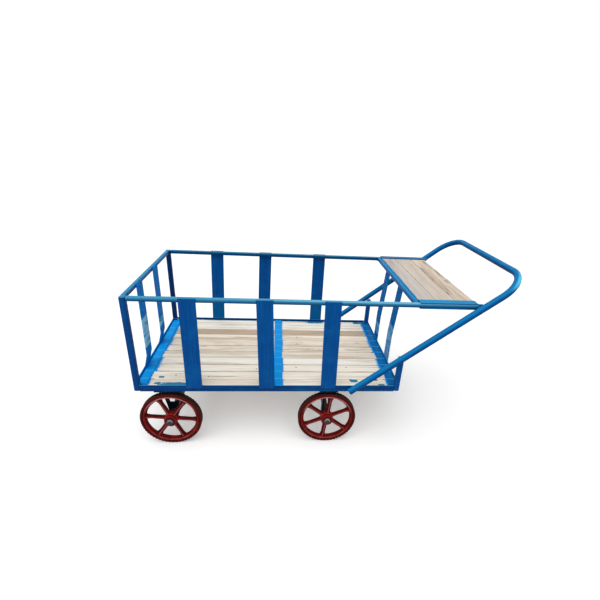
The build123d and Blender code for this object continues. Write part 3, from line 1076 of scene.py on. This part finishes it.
# The ribs stand out past the webs; a painted highlight runs along the rib edges down the middle of each
# spoke, and painted shade darkens the web faces beside them
inward = minus(tyre_outer, size_of(wheel_axes["Y"]))
on_spoke = times(spread(radius, 0.026, 0.034), below(radius, 0.1105))
rib_highlight = times(on_spoke, flip(spread(inward, 0.0045, 0.0070)))
web_shade = times(on_spoke, spread(inward, 0.0085, 0.0115))
color = mixed(times(web_shade, 0.50), color, (0.030, 0.003, 0.003))
color = mixed(times(rib_highlight, 0.60), color, (0.38, 0.085, 0.080))
# Painted shadow: a dark ring round the bolt on the hub's outer face
ragged_radius = plus(radius, times(minus(runs, 0.5), 0.016))
bolt_shade = times(below(inward, 0.0), flip(spread(ragged_radius, 0.0200, 0.0270)))
color = mixed(times(bolt_shade, 0.8), color, (0.030, 0.010, 0.010))
worn = use(tree, chips, Amount=-0.02)
color = mixed(times(worn["Chip"], 0.8), color, (0.05, 0.03, 0.025))
color = mixed(times(worn["Dust"], 0.03), color, dust_grey)
dress(shader, plus(grit, times(runs, 0.6)), 0.0007, 0.7, Base_Color=color,
      Roughness=plus(times(grit, 0.25), 0.28), Specular_IOR_Level=0.05)

rubber, tree, shader = finish_material("dusty rubber with red overspray")
place = object_place(tree)
radius = use(tree, from_axle)["Radius"]
ragged = times(minus(speckle(place, 55.0, 5.0, 0.7), 0.5), 0.012)
near_rim = flip(spread(plus(radius, ragged), 0.1340, 0.1372))
side_wall = spread(size_of(parts_of(surface_normal(tree))["Y"]), 0.5, 0.9)
paint_edge = times(near_rim, side_wall)
crumbs = speckle(place, 180.0, 5.0, 0.7)
color = mixed(spread(crumbs, 0.35, 0.75), (0.008, 0.004, 0.003), (0.050, 0.026, 0.018))
worn = use(tree, chips, Amount=0.0)
color = mixed(times(worn["Dust"], 0.22), color, (0.15, 0.09, 0.065))
# Overspray has caught the outer blocks of the tread as well
inward = plus(minus(tyre_outer, size_of(parts_of(place)["Y"])), ragged)
overspray = flip(spread(inward, 0.004, 0.013))
color = mixed(times(overspray, 0.70), color, (0.085, 0.008, 0.007))
color = mixed(times(paint_edge, 0.9), color, (0.080, 0.003, 0.003))
dress(shader, crumbs, 0.0006, 0.8, Base_Color=color, Roughness=plus(times(crumbs, 0.25), 0.6),
      Specular_IOR_Level=0.12)

for end, turn in (("left", radians(5.0)), ("right", radians(37.0))):
    for side in ("near", "far"):
        corner_name = side + "_" + end
        low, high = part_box("tyre_" + corner_name)
        outer_y = low.y if side == "near" else high.y
        half_turn = Matrix.Rotation(0.0 if side == "near" else pi, 4, "Z")
        spoke_turn = Matrix.Rotation(turn if side == "near" else -turn, 4, "Y")
        centre = Matrix.Translation(((low.x + high.x) / 2, outer_y, (low.z + high.z) / 2))
        here = centre @ half_turn @ spoke_turn
        for pattern, name, node, paint, slot in (
            (casting, "spoked_wheel_", "wheel_", cast_red, "wheel_red"),
            (tread, "rubber_tyre_", "tyre_", rubber, "tyre"),
        ):
            piece = add(name + corner_name, pattern.data.copy())
            piece.data.transform(here)
            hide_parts(node + corner_name)
            fit(piece, paint, corner_name + "_wheel")
for pattern in (casting, tread):
    bpy.data.objects.remove(pattern)


# Wheel bolts: a zinc-plated hexagon bolt and a washer in each axle end keep the wheel on. The head's
# corners are chamfered; its plating is darkened by patches of grease and by painted shade on every face
# that doesn't face up, and the washer is near black.
zinc, tree, shader = finish_material("zinc plate with grease and painted shade")
place = object_place(tree)
bloom = speckle(place, 120.0, 4.0, 0.6)
grease = spread(speckle(place, 70.0, 4.0, 0.6), 0.44, 0.56)
color = mixed(bloom, (0.62, 0.60, 0.62), (0.95, 0.92, 0.94))
washer_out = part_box("axle_bolts_left")[1].y - 0.0098
washer = below(size_of(parts_of(place)["Y"]), washer_out)
# Painted shade: faces that don't face up are darkened
bolt_shade = times(flip(spread(parts_of(surface_normal(tree))["Z"], 0.05, 0.38)), 0.96)
grease_and_shade = larger(times(grease, 0.6), larger(bolt_shade, washer))
dress(shader, bloom, 0.0003, 0.6, Base_Color=mixed(grease_and_shade, color, (0.020, 0.012, 0.012)),
      Metallic=times(flip(grease_and_shade), 0.85), Roughness=plus(times(bloom, 0.25), 0.25), Specular_IOR_Level=0.08)
for end in ("left", "right"):
    bolts = stock("wheel_bolts_" + end, "axle_bolts_" + end)
    round_edges(bolts, 0.0014, 2, 50)
    fit(bolts, zinc)


# Studio: a pale floor, a white surround for the camera and for reflections, and one very broad soft
# light from overhead and a little in front.
def in_view(tree):
    """1 for the rays that a camera sees, straight or by way of a shiny or clear surface."""
    rays = put(tree, "LightPath").outputs
    return larger(rays["Is Camera Ray"], larger(rays["Is Glossy Ray"], rays["Is Transmission Ray"]))


floor_size = 40.0
bpy.ops.mesh.primitive_plane_add(size=floor_size, location=(0, 0, 0))
floor = bpy.context.object
floor.name = "studio_floor"
floor_pale, tree, shader = finish_material("pale studio floor")
cloud = speckle(object_place(tree), 0.8, 2.0, 0.5)
feed(shader.inputs, Base_Color=mixed(cloud, (0.86, 0.86, 0.86), (0.88, 0.88, 0.88)), Roughness=0.9,
     Specular_IOR_Level=0.0, Emission_Color=(1, 1, 1), Emission_Strength=times(in_view(tree), 0.26))
floor.data.materials.append(floor_pale)

world = bpy.data.worlds.new("studio surround")
bpy.context.scene.world = world
world.use_nodes = True
tree = world.node_tree
tree.nodes.clear()
strength = plus(times(in_view(tree), 0.68), 0.32)
back = put(tree, "Background", Color=(1, 1, 1), Strength=strength)
put(tree, "OutputWorld", Surface=back.outputs[0])

sun = bpy.data.lights.new("broad overhead light", "SUN")
sun.energy = 2.30
sun.angle = radians(75)
lamp = add("broad overhead light", sun)
lamp.location = (-0.6, -1.4, 4.0)
lamp.rotation_euler = (-lamp.location).to_track_quat("-Z", "Y").to_euler()

# Camera: at the photographer's chest height, in front of the near side, turned a little to the
# right and looking down on the deck.
camera_place = (-0.2227, -1.8100, 1.3330)
camera_yaw, camera_pitch, camera_roll = radians(-5.16), radians(-25.87), radians(-1.05)
camera_data = bpy.data.cameras.new("photographer")
camera_data.sensor_width = 36.0
camera_data.lens = 22.93
camera_data.shift_x = -0.0221
camera_data.shift_y = 0.0429
camera = add("photographer", camera_data)
camera.matrix_world = (
    Matrix.Translation(camera_place)
    @ Matrix.Rotation(camera_roll, 4, "Y")
    @ Matrix.Rotation(camera_pitch, 4, "X")
    @ Matrix.Rotation(camera_yaw, 4, "Z")
    @ Matrix.Rotation(pi / 2, 4, "X")
)
bpy.context.scene.camera = camera
bpy.context.scene.view_settings.view_transform = "Standard"
